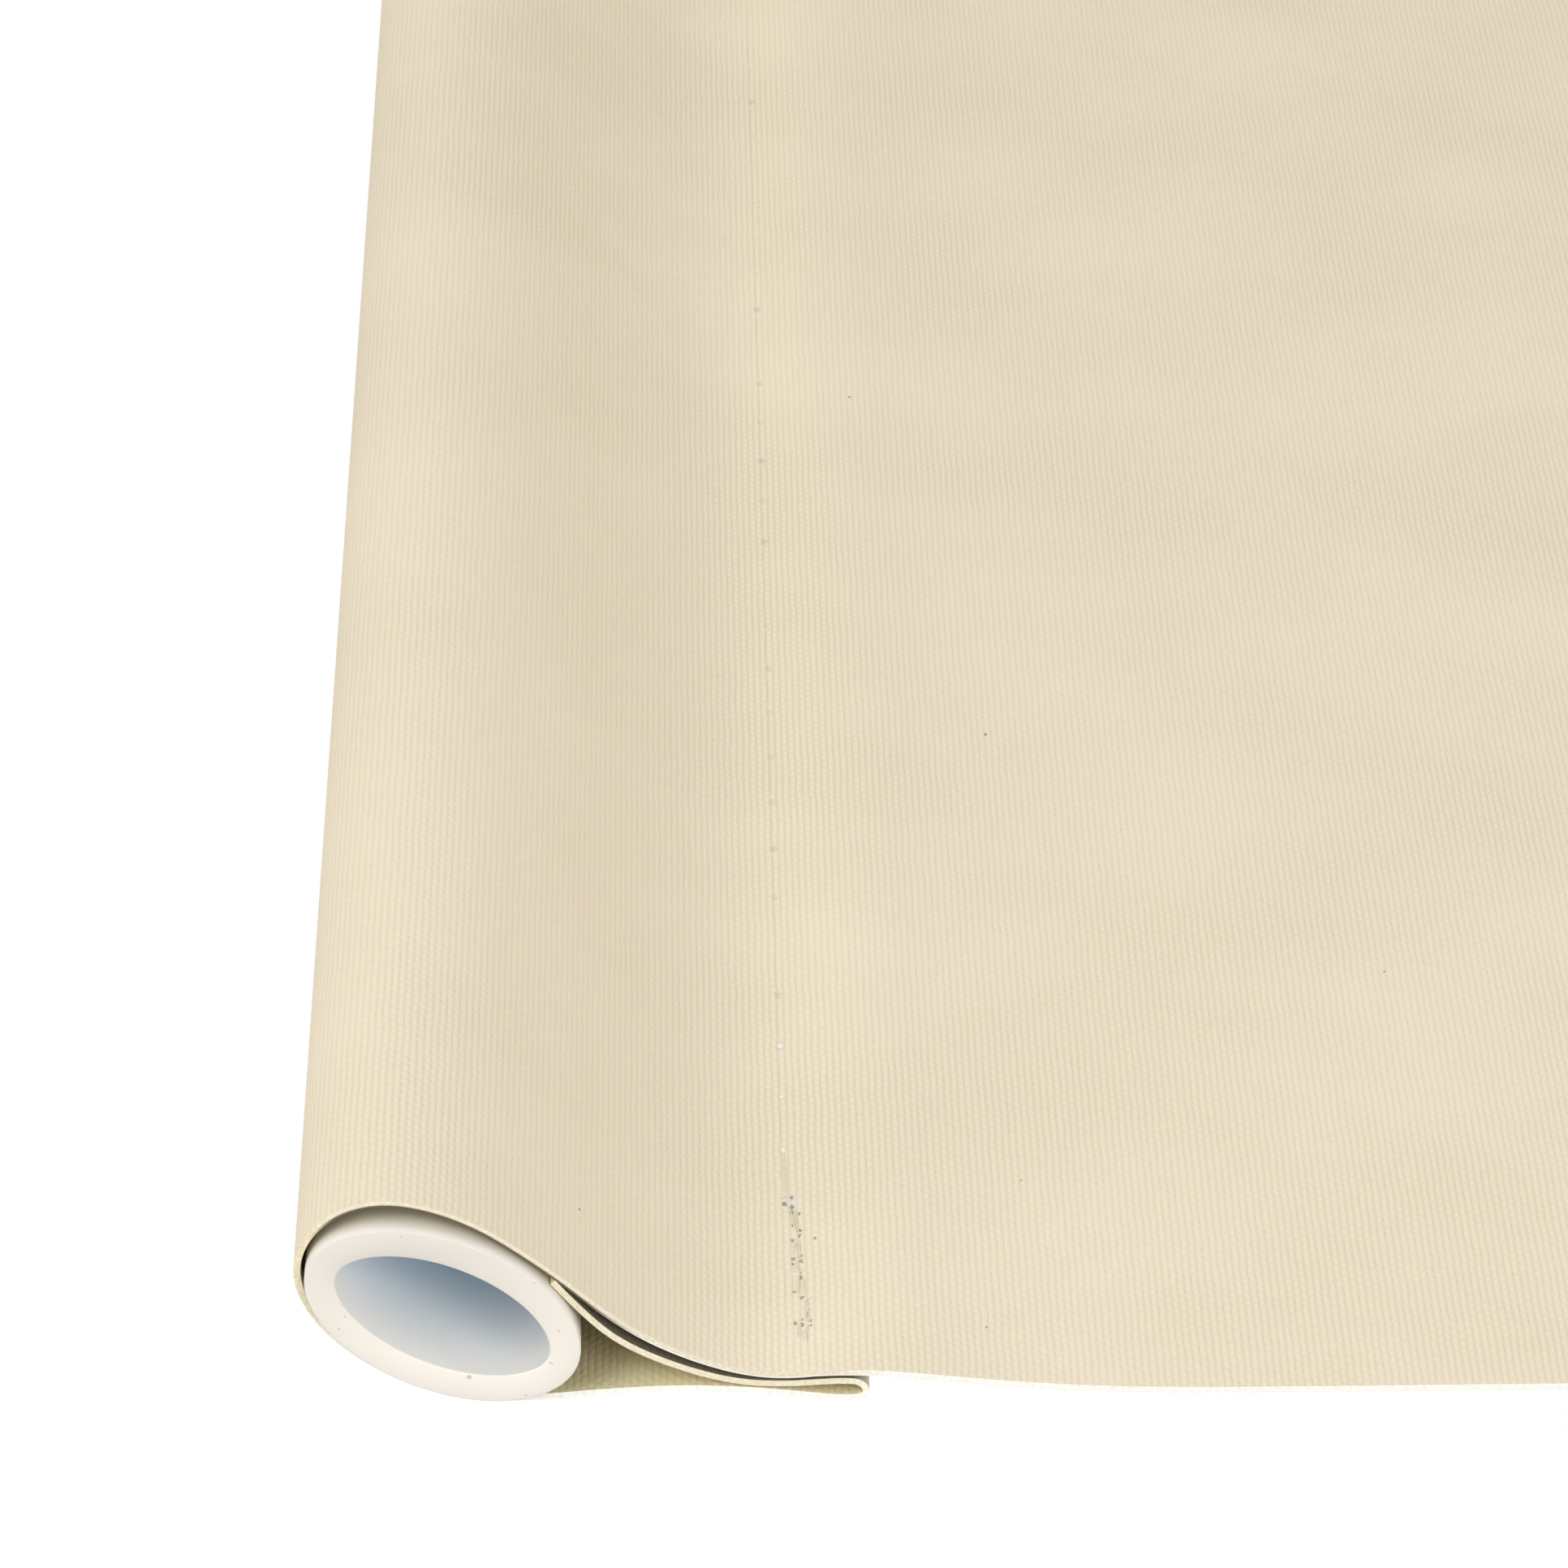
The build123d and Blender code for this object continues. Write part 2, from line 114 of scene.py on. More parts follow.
def new_group(name, inputs, outputs):
    """An empty node group with named number or vector sockets."""
    group = bpy.data.node_groups.new(name, "ShaderNodeTree")
    for label, kind, value in inputs:
        socket = group.interface.new_socket(label, in_out="INPUT", socket_type=kind)
        if value is not None:
            socket.default_value = value
    for label, kind in outputs:
        group.interface.new_socket(label, in_out="OUTPUT", socket_type=kind)
    return group, group.nodes.new("NodeGroupInput").outputs, group.nodes.new("NodeGroupOutput").inputs


def place_group(tree, group, **links):
    """A copy of a node group in a material, with its inputs linked or set by name."""
    node = tree.nodes.new("ShaderNodeGroup")
    node.node_tree = group
    for label, source in links.items():
        if hasattr(source, "is_linked"):
            tree.links.new(source, node.inputs[label])
        else:
            node.inputs[label].default_value = source
    return node.outputs


# Fine grain of a finish: a height, and a mask of small patches
grain_group, given, put = new_group(
    "Fine grain",
    [("Place", "NodeSocketVector", None), ("Scale", "NodeSocketFloat", 900.0),
     ("Patches", "NodeSocketFloat", 60.0)],
    [("Height", "NodeSocketFloat"), ("Mask", "NodeSocketFloat")])
fine = add_node(
    grain_group, "ShaderNodeTexNoise",
    [("Vector", given["Place"]), ("Scale", given["Scale"]), ("Detail", 3.0)])
patches = add_node(
    grain_group, "ShaderNodeTexNoise",
    [("Vector", given["Place"]), ("Scale", given["Patches"]), ("Detail", 2.0)])
grain_group.links.new(fine.outputs["Fac"], put["Height"])
grain_group.links.new(patches.outputs["Fac"], put["Mask"])


def grained(name, dark, light, roughness, metallic, scale, patches, depth, stretch=(1, 1, 1)):
    """A finish whose colour and roughness vary in patches over a fine grain."""
    made, tree, shader = new_material(name)
    place = add_node(tree, "ShaderNodeTexCoord").outputs["Object"]
    place = add_node(tree, "ShaderNodeMapping", [("Vector", place), ("Scale", stretch)]).outputs[0]
    grain = place_group(tree, grain_group, Place=place, Scale=scale, Patches=patches)
    tree.links.new(tinted(tree, (*dark, 1), grain["Mask"], light), shader.inputs["Base Color"])
    rough = ranged(tree, grain["Height"], 0.0, 1.0, roughness - 0.07, roughness + 0.07)
    tree.links.new(rough, shader.inputs["Roughness"])
    shader.inputs["Metallic"].default_value = metallic
    add_bump(tree, shader, grain["Height"], 0.5, depth)
    return made


def finish_nodes(material, names):
    """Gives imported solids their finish."""
    for name in names:
        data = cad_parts[name].data
        data.materials.clear()
        data.materials.append(material)


powder_coat = grained(
    "Powder coat", (0.76, 0.75, 0.71), (0.84, 0.83, 0.79), roughness=0.42, metallic=0.0,
    scale=1400.0, patches=50.0, depth=0.00003)
finish_nodes(powder_coat, ["spring_end_bracket", "pin_end_bracket"])


# Fixed shaft, ratchet wheel, pawls, rivets and idle pin
# They are turned or stamped from steel and zinc plated. The tang at the shaft's
# end drops into the slotted bracket and keeps the shaft from turning.

zinc_plate = grained(
    "Zinc plate", (0.50, 0.51, 0.53), (0.66, 0.67, 0.69), roughness=0.32, metallic=1.0,
    scale=1800.0, patches=120.0, depth=0.00001, stretch=(1, 4, 4))
finish_nodes(zinc_plate, [
    "tang_shaft", "ratchet_wheel", "upper_pawl", "lower_pawl", "pawl_rivets", "idle_pin", "spring_rod"])


# Springs and rod clip
# Drawn and hardened steel wire, dark and slightly oily, wound along the roller.
# The small spring behind the idle pin shortens as the pin is pressed in.

spring_wire = grained(
    "Spring steel", (0.16, 0.16, 0.17), (0.26, 0.26, 0.28), roughness=0.34, metallic=1.0,
    scale=2400.0, patches=200.0, depth=0.00001)
finish_nodes(spring_wire, ["torsion_spring", "pin_spring", "rod_clip"])
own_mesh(bpy.data.objects["pin_spring"])


# Roller tube
# Extruded aluminium in its mill finish, with faint die lines along its length.
# It is covered by the cloth but for a short stretch at each end.

mill_aluminium = grained(
    "Mill aluminium", (0.66, 0.67, 0.68), (0.78, 0.79, 0.80), roughness=0.30, metallic=1.0,
    scale=1500.0, patches=90.0, depth=0.00002, stretch=(0.02, 1, 1))
finish_nodes(mill_aluminium, ["roller_tube"])


# End caps, plugs and spring hub
# Moulded in grey plastic with a fine spark-eroded texture. They are keyed to the
# tube, and their flanges keep the cloth between them.

moulded_grey = grained(
    "Moulded grey", (0.60, 0.60, 0.58), (0.68, 0.68, 0.66), roughness=0.5, metallic=0.0,
    scale=1600.0, patches=40.0, depth=0.00004)
finish_nodes(moulded_grey, [
    "spring_end_cap", "idle_end_cap", "spring_anchor_plug", "spring_hub", "spring_seat"])


# Fixing tape
# A narrow strip of clear adhesive film that holds the cloth's inner end. It lies
# under the turns, on a flat of the roller tube.

tape_film = grained(
    "Tape film", (0.78, 0.77, 0.70), (0.84, 0.83, 0.76), roughness=0.3, metallic=0.0,
    scale=700.0, patches=80.0, depth=0.00001)
finish_nodes(tape_film, ["fixing_tape"])


# Hem pocket
# The cloth's lower end runs round the hem tube, is folded in and caught by one
# seam. The cloth is a plain weave under a matt blackout coat, and its sides are cut.

hem_centre = Vector((0, -0.0197123, -0.912538))
half_width = 0.3
cloth_thickness = 0.00042
threads_across = 0.00042
threads_down = 0.00045
seam_height = 0.021
stitch_length = 0.00636
first_needle_hole = half_width - 0.0251

# Outer face of the folded cloth in millimetres from the tube's centre: up, and towards the room
pocket_section = [
    (52.0, -6.24), (44.62, -6.23), (38.08, -5.97), (32.12, -5.41), (27.58, -4.86), (23.6, -4.7), (20.8, -4.95),
    (18.27, -4.6), (15.34, -3.53), (12.28, -1.9), (9.61, 0.15), (7.48, 2.14), (4.92, 4.24), (2.36, 6.12),
    (-0.55, 7.49), (-3.43, 8.05), (-5.96, 7.52), (-8.05, 5.95), (-9.1, 3.7), (-8.95, 1.3), (-7.52, -1.36),
    (-5.47, -3.42), (-2.72, -5.24), (0.42, -6.48), (3.98, -6.83), (7.25, -6.62), (10.08, -6.36), (14.43, -6.14),
    (18.6, -6.34), (21.8, -6.72), (24.2, -7.02), (25.85, -6.95), (26.15, -6.2), (25.6, -5.45), (24.4, -5.34),
    (22.9, -5.42), (20.9, -5.54), (17.94, -5.38), (14.48, -4.28), (10.9, -2.44), (8.56, -0.12), (6.9, 2.02)]


def nurbs_path(points, resolution):
    """A smooth curve from the first point to the last, which the others draw towards them."""
    bpy.ops.object.select_all(action="DESELECT")
    bpy.ops.curve.primitive_nurbs_path_add()
    path = bpy.context.object
    path.data.splines.clear()
    spline = path.data.splines.new("NURBS")
    spline.points.add(len(points) - 1)
    for point, place in zip(spline.points, points):
        point.co = (*place, 1)
    spline.order_u = 3
    spline.use_endpoint_u = True
    path.data.resolution_u = resolution
    return path


def smooth_line(points, resolution):
    """Points along a smooth curve by a section's corners, given as (0, y, z)."""
    nurbs_path(points, resolution)
    bpy.ops.object.convert(target="MESH")
    line = bpy.context.object
    made = [vertex.co.copy() for vertex in line.data.vertices]
    bpy.data.objects.remove(line)
    return made


def ripple(x, z):
    """How far the hanging cloth stands off its plane, nothing at the roller and at the fold."""
    fold_height, drop = 0.026, 0.8865
    above = z - hem_centre.z - fold_height
    if above <= 0:
        return 0
    small_swell, wide_swell = 0.00022, 0.0007
    swell = small_swell * min(1, above / 0.02) + wide_swell * math.sin(math.pi * min(1, above / drop)) ** 2
    flat_below_roller = 0.3
    swell *= min(1, max(0, -z) / flat_below_roller) ** 2
    return swell * (math.sin(x * 17 + z * 6 + 0.6) * 0.6 + math.sin(x * 41 - z * 13 + 2.1) * 0.4)


def cloth_sheet(name, line, columns, start_length, move):
    """A sheet with its rows along a line and its columns along the width, mapped in metres of cloth."""
    bpy.ops.object.select_all(action="DESELECT")
    bpy.ops.mesh.primitive_grid_add(x_subdivisions=columns, y_subdivisions=len(line) - 1, size=1)
    piece = bpy.context.object
    piece.name = name
    lengths = [start_length]
    for before, after in zip(line, line[1:]):
        lengths.append(lengths[-1] + (after - before).length)
    flat_place = []
    for vertex in piece.data.vertices:
        column = round((vertex.co.x + 0.5) * columns)
        row = round((vertex.co.y + 0.5) * (len(line) - 1))
        x = half_width - 2 * half_width * column / columns
        y, z = line[row].y, line[row].z
        flat_place.append((x, lengths[row]))
        vertex.co = (x, y + move(x, z, lengths[row]), z)
    layer = piece.data.uv_layers[0]
    for loop in piece.data.loops:
        layer.data[loop.index].uv = flat_place[loop.vertex_index]
    return piece


def finish_cloth(piece):
    """Gives the sheet its thickness, and its three materials for face, back and cut edge."""
    bpy.ops.object.select_all(action="DESELECT")
    piece.select_set(True)
    bpy.context.view_layer.objects.active = piece
    for material in (cloth_face, cloth_back, cut_edge):
        piece.data.materials.append(material)
    bpy.ops.object.modifier_add(type="SOLIDIFY")
    solid = piece.modifiers[-1]
    solid.thickness = cloth_thickness
    solid.offset = -1
    solid.use_even_offset = True
    solid.material_offset = 1
    solid.material_offset_rim = 2
    face_points = len(piece.data.vertices)
    bpy.ops.object.modifier_apply(modifier=solid.name)
    through = piece.data.attributes.new("through", "FLOAT", "POINT")
    back_points = len(piece.data.vertices) - face_points
    through.data.foreach_set("value", [0.0] * face_points + [1.0] * back_points)
    bpy.ops.object.shade_smooth_by_angle(angle=math.radians(40))


pocket_line = smooth_line(
    [(0, hem_centre.y - room / 1000, hem_centre.z + up / 1000) for up, room in pocket_section], 6)


def cloth_length_at(up, room):
    """Metres of cloth from the pocket's top round to a place given in millimetres, as the section is."""
    total = 0
    nearest = (math.inf, 0)
    goal = Vector((0, hem_centre.y - room / 1000, hem_centre.z + up / 1000))
    if up > pocket_section[0][0]:
        return (pocket_section[0][0] - up) / 1000
    for before, after in zip(pocket_line, pocket_line[1:]):
        total += (after - before).length
        nearest = min(nearest, ((after - goal).length, total))
    return nearest[1]


def maths(tree, operation, *values):
    """The output of a Math node that is fed by sockets or numbers."""
    return add_node(tree, "ShaderNodeMath", list(enumerate(values)), operation=operation).outputs[0]


# Plain weave: threads one over, one under, in metres of cloth
weave_group, given, put = new_group(
    "Plain weave",
    [("Cloth", "NodeSocketVector", None), ("Across", "NodeSocketFloat", threads_across),
     ("Down", "NodeSocketFloat", threads_down)],
    [("Height", "NodeSocketFloat"), ("Gaps", "NodeSocketFloat")])
wobble = add_node(
    weave_group, "ShaderNodeTexNoise", [("Vector", given["Cloth"]), ("Scale", 260.0), ("Detail", 2.0)])
wobble = maths(weave_group, "MULTIPLY", maths(weave_group, "SUBTRACT", wobble.outputs["Fac"], 0.5), 0.5)
parts = add_node(weave_group, "ShaderNodeSeparateXYZ", [(0, given["Cloth"])]).outputs
across = maths(weave_group, "ADD", maths(weave_group, "DIVIDE", parts[0], given["Across"]), wobble)
down = maths(weave_group, "ADD", maths(weave_group, "DIVIDE", parts[1], given["Down"]), wobble)


def thread_round(count):
    """The round back of a thread: 1 along its middle and 0 where it meets the next."""
    inside = maths(weave_group, "SUBTRACT", maths(weave_group, "FRACT", count), 0.5)
    fallen = maths(weave_group, "MULTIPLY", maths(weave_group, "MULTIPLY", inside, inside), 4.0)
    return maths(weave_group, "SUBTRACT", 1.0, fallen)


turn = maths(weave_group, "ADD", maths(weave_group, "SUBTRACT", across, 0.5), maths(weave_group, "FLOOR", down))
turn = maths(weave_group, "MULTIPLY", turn, math.pi)
over = maths(weave_group, "MULTIPLY_ADD", maths(weave_group, "COSINE", turn), 0.24, 0.76)
ribs = maths(weave_group, "MULTIPLY", thread_round(down), over)
crossing = maths(weave_group, "MULTIPLY", thread_round(across), maths(weave_group, "SUBTRACT", 1.0, over))
height = maths(weave_group, "MAXIMUM", ribs, maths(weave_group, "MULTIPLY", crossing, 0.9))
weave_group.links.new(height, put["Height"])
weave_group.links.new(maths(weave_group, "SUBTRACT", 1.0, height), put["Gaps"])

# Needle holes along a seam, one to each stitch, some plainer than others
needle_group, given, put = new_group(
    "Needle holes",
    [("Cloth", "NodeSocketVector", None), ("Seam", "NodeSocketFloat", 0.0),
     ("First", "NodeSocketFloat", 0.0), ("Stitch", "NodeSocketFloat", stitch_length)],
    [("Mask", "NodeSocketFloat")])
parts = add_node(needle_group, "ShaderNodeSeparateXYZ", [(0, given["Cloth"])]).outputs
count = maths(needle_group, "DIVIDE", maths(needle_group, "SUBTRACT", given["First"], parts[0]), given["Stitch"])
whole = maths(needle_group, "ROUND", count)
hole_stretch = 0.55
beside = maths(needle_group, "MULTIPLY", given["Stitch"], hole_stretch)
beside = maths(needle_group, "MULTIPLY", maths(needle_group, "SUBTRACT", count, whole), beside)
below = maths(needle_group, "SUBTRACT", parts[1], given["Seam"])
squares = [maths(needle_group, "MULTIPLY", side, side) for side in (beside, below)]
far = maths(needle_group, "SQRT", maths(needle_group, "ADD", *squares))
hole_core, hole_rim = 0.00014, 0.00034
near = ranged(needle_group, far, hole_core, hole_rim, 1.0, 0.0)
chance = add_node(needle_group, "ShaderNodeTexWhiteNoise", [("W", whole)], noise_dimensions="1D")
plain = ranged(needle_group, chance.outputs["Value"], 0.3, 1.0, 0.12, 1.0)
started = maths(needle_group, "GREATER_THAN", count, -0.5)
mask = maths(needle_group, "MULTIPLY", maths(needle_group, "MULTIPLY", near, plain), started)
needle_group.links.new(mask, put["Mask"])


def vector_maths(tree, operation, *values):
    """The vector output of a Vector Math node that is fed by sockets or vectors."""
    return add_node(tree, "ShaderNodeVectorMath", list(enumerate(values)), operation=operation).outputs[0]


# A single speck at a place, longer along the width
speck_group, given, put = new_group(
    "Speck",
    [("Cloth", "NodeSocketVector", None), ("Spot", "NodeSocketVector", None),
     ("Size", "NodeSocketFloat", 0.0002)],
    [("Mask", "NodeSocketFloat")])
speck_stretch = (0.6, 1, 1)
gap = vector_maths(speck_group, "SUBTRACT", given["Cloth"], given["Spot"])
gap = vector_maths(speck_group, "MULTIPLY", gap, speck_stretch)
far = add_node(speck_group, "ShaderNodeVectorMath", [(0, gap)], operation="LENGTH").outputs["Value"]
core = maths(speck_group, "MULTIPLY", given["Size"], 0.5)
speck_group.links.new(ranged(speck_group, far, core, given["Size"], 1.0, 0.0), put["Mask"])

# Marks on the cloth, all in millimetres: in from its edge, above the tube's centre, and size
specks = [
    (43.8, 6.5, 0.22), (8.9, 9.0, 0.17), (14.7, 22.9, 0.2), (80.3, 36.2, 0.24), (48.4, 61.8, 0.16),
    (45.1, 18.0, 0.13), (22.7, 36.1, 0.14), (5.7, 33.8, 0.14), (131.0, 28.0, 0.2), (240.0, 90.0, 0.2),
    (330.0, 12.0, 0.18), (402.0, 49.0, 0.2), (515.0, 70.0, 0.2)]
backstitch_holes = [
    (17.9, 21.6, 0.26), (18.8, 21.2, 0.3), (19.5, 21.5, 0.22), (17.6, 21.9, 0.19), (18.4, 21.4, 0.26),
    (16.3, 21.8, 0.19), (15.7, 21.9, 0.22), (15.1, 21.9, 0.22), (14.6, 21.7, 0.19), (12.5, 21.5, 0.22),
    (12.7, 21.9, 0.22), (12.2, 22.1, 0.22), (11.9, 21.4, 0.19), (11.9, 21.8, 0.19), (10.4, 22.2, 0.26),
    (10.9, 22.1, 0.15), (8.1, 21.9, 0.22), (8.8, 21.8, 0.15), (5.3, 21.7, 0.22), (5.7, 22.1, 0.19),
    (5.1, 22.2, 0.22), (5.5, 22.6, 0.19), (5.0, 22.5, 0.15)]
rubbed_places = [
    (19.0, 21.4, 0.8), (19.5, 21.0, 0.5), (13.7, 21.7, 0.34), (10.9, 21.6, 0.5), (7.9, 22.4, 0.45),
    (6.6, 22.4, 0.34), (3.9, 21.8, 0.41), (3.3, 22.2, 0.34)]
# Painted glints of the clear thread, drawn as near-white marks on the face
painted_glints = [(25.1, 21.15, 0.2), (37.8, 21.1, 0.24), (31.5, 21.35, 0.12)]
seam_length = cloth_length_at(seam_height * 1000, -4.9)
fold_length = cloth_length_at(26.1, -6.2)


def marks_mask(tree, ragged_map, marks, share):
    """Where any of the marks lies, each drawn at a share of its size."""
    mask = 0.0
    for inwards, up, size in marks:
        spot = (half_width - inwards / 1000, cloth_length_at(up, 2.0 if up < 10 else -5.0), 0)
        mark = place_group(tree, speck_group, Cloth=ragged_map, Spot=spot, Size=size * share / 1000)
        mask = maths(tree, "MAXIMUM", mask, mark["Mask"])
    return mask


def marked(tree, colour, mask, share, tint):
    """A colour that goes a share of the way to a tint where the mask is."""
    return tinted(tree, colour, maths(tree, "MULTIPLY", mask, share), tint)


def cloth_material(name, light, dark, with_seam):
    """Coated cloth seen from one side. The face has the seam's marks, painted glints, painted light along the
    seam and painted shade where it is turned in.
    """
    made, tree, shader = new_material(name)
    cloth_map = add_node(tree, "ShaderNodeUVMap").outputs[0]
    weave = place_group(tree, weave_group, Cloth=cloth_map)
    grain = place_group(tree, grain_group, Place=cloth_map, Scale=2600.0, Patches=46.0)
    stain = place_group(tree, grain_group, Place=cloth_map, Scale=1500.0, Patches=360.0)
    coat = ranged(tree, grain["Mask"], 0.36, 0.62, 0.45, 1.0)
    gaps, patches = maths(tree, "MULTIPLY", weave["Gaps"], coat), maths(tree, "MULTIPLY", grain["Mask"], 0.4)
    tone = maths(tree, "MULTIPLY_ADD", gaps, 0.65, patches)
    flush = maths(tree, "MULTIPLY_ADD", stain["Mask"], 2.4, -0.8)
    colour = tinted(tree, (*light, 1), flush, (light[0] * 1.02, light[1] * 0.985, light[2] * 1.02))
    along = add_node(tree, "ShaderNodeSeparateXYZ", [(0, cloth_map)]).outputs[1]
    if with_seam:
        # Painted light: the face is drawn paler in a band along the seam
        from_seam = maths(tree, "ABSOLUTE", maths(tree, "SUBTRACT", along, seam_length - 0.001))
        painted_light_beside_seam = ranged(tree, from_seam, 0.0075, 0.0015, 0.0, 0.9)
        colour = tinted(tree, colour, painted_light_beside_seam, [part * 1.065 for part in light])
    colour = tinted(tree, colour, tone, dark)
    height = weave["Height"]
    if with_seam:
        noise = [("Vector", cloth_map), ("Scale", 5200.0), ("Detail", 1.0)]
        ragged = add_node(tree, "ShaderNodeTexNoise", noise).outputs["Color"]
        ragged = vector_maths(tree, "MULTIPLY_ADD", ragged, (0.0004, 0.0004, 0), cloth_map)
        ragged = vector_maths(tree, "SUBTRACT", ragged, (0.0002, 0.0002, 0))
        colour = marked(tree, colour, marks_mask(tree, ragged, rubbed_places, 1.0), 0.6, (0.80, 0.74, 0.66))
        holes = place_group(tree, needle_group, Cloth=ragged, Seam=seam_length, First=first_needle_hole)["Mask"]
        needle_holes = maths(tree, "MULTIPLY", holes, 0.3)
        holes = maths(tree, "MAXIMUM", needle_holes, marks_mask(tree, ragged, backstitch_holes, 0.72))
        colour = marked(tree, colour, holes, 0.78, (0.20, 0.185, 0.20))
        colour = marked(tree, colour, marks_mask(tree, cloth_map, specks, 0.6), 0.75, (0.16, 0.15, 0.14))
        # Painted highlights where the thread catches the light
        colour = marked(tree, colour, marks_mask(tree, ragged, painted_glints, 1.0), 0.8, (0.98, 0.96, 0.94))
        height = maths(tree, "MULTIPLY_ADD", needle_holes, -2.0, height)
        # Painted shade: the turned-in cloth inside the pocket is drawn almost black
        painted_shade_turned_in = ranged(tree, along, fold_length, fold_length + 0.0015)
        colour = marked(tree, colour, painted_shade_turned_in, 0.9, (0.10, 0.085, 0.055))
    tree.links.new(colour, shader.inputs["Base Color"])
    shader.inputs["Roughness"].default_value = 0.85
    shader.inputs["Specular IOR Level"].default_value = 0.25
    height = maths(tree, "MULTIPLY_ADD", grain["Height"], 0.3, height)
    add_bump(tree, shader, height, 0.9, 0.00006)
    return made


cloth_face = cloth_material("Coated cloth", (0.86, 0.765, 0.585), (0.74, 0.655, 0.48), True)
cloth_back = cloth_material("Cloth back", (0.82, 0.75, 0.48), (0.72, 0.65, 0.40), False)


def shaded(tree, colour, shade):
    """A colour multiplied by a grey value."""
    links = [(0, 1.0), (6, colour), (7, shade)]
    return add_node(tree, "ShaderNodeMix", links, data_type="RGBA", blend_type="MULTIPLY").outputs[2]


# The cut shows pale thread ends and coat. Along the cloth it is near-white above the seam, under the tube and at
# the fold, and drawn darker round the room side of the tube as painted shade. Its inner side is drawn dark over
# the tube, as the photo has it, and pale along the seam.
cut_edge, tree, shader = new_material("Cut cloth edge")
cloth_map = add_node(tree, "ShaderNodeUVMap").outputs[0]
place = add_node(tree, "ShaderNodeTexCoord").outputs["Object"]
grain = place_group(tree, grain_group, Place=place, Scale=5200.0, Patches=3600.0)
along = add_node(tree, "ShaderNodeSeparateXYZ", [(0, cloth_map)]).outputs[1]
line_length = cloth_length_at(*pocket_section[-1])
ramp = add_node(tree, "ShaderNodeValToRGB", [(0, ranged(tree, along, 0.0, line_length))])
ramp.color_ramp.elements.remove(ramp.color_ramp.elements[1])
edge_tints_and_painted_shade = [
    (cloth_length_at(27, -4.8), (0.97, 0.95, 0.86)), (cloth_length_at(24, -4.8), (0.80, 0.715, 0.55)),
    (cloth_length_at(-6.5, 7.1), (0.84, 0.75, 0.58)), (cloth_length_at(-8.7, 4.5), (0.78, 0.69, 0.47)),
    (cloth_length_at(-8.2, 0), (0.80, 0.71, 0.50)), (cloth_length_at(-6.5, -2.3), (0.97, 0.95, 0.86)),
    (fold_length - 0.0008, (0.97, 0.95, 0.86)), (fold_length + 0.002, (0.84, 0.76, 0.56))]
ramp.color_ramp.elements[0].color = (*edge_tints_and_painted_shade[0][1], 1)
for length, tint in edge_tints_and_painted_shade:
    ramp.color_ramp.elements.new(length / line_length).color = (*tint, 1)
through = add_node(tree, "ShaderNodeAttribute", attribute_name="through").outputs["Fac"]
inner_half = ranged(tree, through, 0.52, 0.78)
inner_line = ranged(tree, through, 0.74, 0.86)
seam_end, tube_start = cloth_length_at(13, -2.3), cloth_length_at(9, 0.7)
over_tube = maths(
    tree, "MULTIPLY", ranged(tree, along, seam_end, tube_start),
    ranged(tree, along, cloth_length_at(-8.3, 5.4), cloth_length_at(-6.5, 7.1)))
darkened = maths(tree, "MULTIPLY", over_tube, inner_half)
fibres = maths(tree, "MULTIPLY_ADD", maths(tree, "MULTIPLY", grain["Height"], grain["Mask"]), 0.8, 0.8)
colour = shaded(tree, ramp.outputs[0], fibres)
seam_side = ranged(tree, along, tube_start, seam_end)
colour = marked(tree, colour, inner_line, seam_side, (0.94, 0.90, 0.80))
colour = tinted(tree, colour, darkened, (0.12, 0.10, 0.065))
tree.links.new(colour, shader.inputs["Base Color"])
shader.inputs["Roughness"].default_value = 0.9
add_bump(tree, shader, grain["Height"], 0.8, 0.00006)


def pocket_move(x, z, length):
    """Slack of the cloth in front of the tube and the ripple above the fold."""
    slack = 0.00012 * math.sin(x * 130 + 0.4) + 0.0001 * math.sin(x * 57 + 1.9)
    slack_middle, slack_reach = 0.040, 0.007
    front = math.exp(-((length - slack_middle) / slack_reach) ** 2)
    return ripple(x, z) * (length < 0.03) + slack * front


cloth_columns = 120
hem_pocket = cloth_sheet("hem_pocket_cloth", pocket_line, cloth_columns, 0.0, pocket_move)
finish_cloth(hem_pocket)
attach(hem_pocket, "hem")
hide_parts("hem_pocket")


# Hem tube
# An oval tube of thick white plastic, sawn square and slid a little out past the
# cloth's edge. The saw leaves dark specks on its face and a burr round the bore.

circle_radius = 0.009
bpy.ops.object.select_all(action="DESELECT")
bpy.ops.mesh.primitive_circle_add(vertices=128, radius=circle_radius, fill_type="NOTHING")
hem_tube = bpy.context.object
hem_tube.name = "oval_hem_tube"
tube_long, tube_short, tube_wall, tube_tilt = 0.018, 0.0108, 0.0019, math.radians(27)
tube_slide = 0.0008
skin_room = 0.00001
tube_steps = 12
for vertex in hem_tube.data.vertices:
    along = vertex.co.x / circle_radius * (tube_long / 2 - skin_room)
    through = vertex.co.y / circle_radius * (tube_short / 2 - skin_room)
    up = along * math.cos(tube_tilt) + through * math.sin(tube_tilt)
    room = through * math.cos(tube_tilt) - along * math.sin(tube_tilt)
    vertex.co = (half_width + tube_slide, hem_centre.y - room, hem_centre.z + up)
bpy.ops.object.mode_set(mode="EDIT")
bpy.ops.mesh.select_all(action="SELECT")
for step in range(tube_steps):
    bpy.ops.mesh.extrude_region_move(TRANSFORM_OT_translate={"value": (-2 * half_width / tube_steps, 0, 0)})
bpy.ops.mesh.select_all(action="SELECT")
bpy.ops.mesh.normals_make_consistent(inside=False)
bpy.ops.object.mode_set(mode="OBJECT")
outwards = hem_tube.data.polygons[0]
middle = Vector((outwards.center.x, hem_centre.y, hem_centre.z))
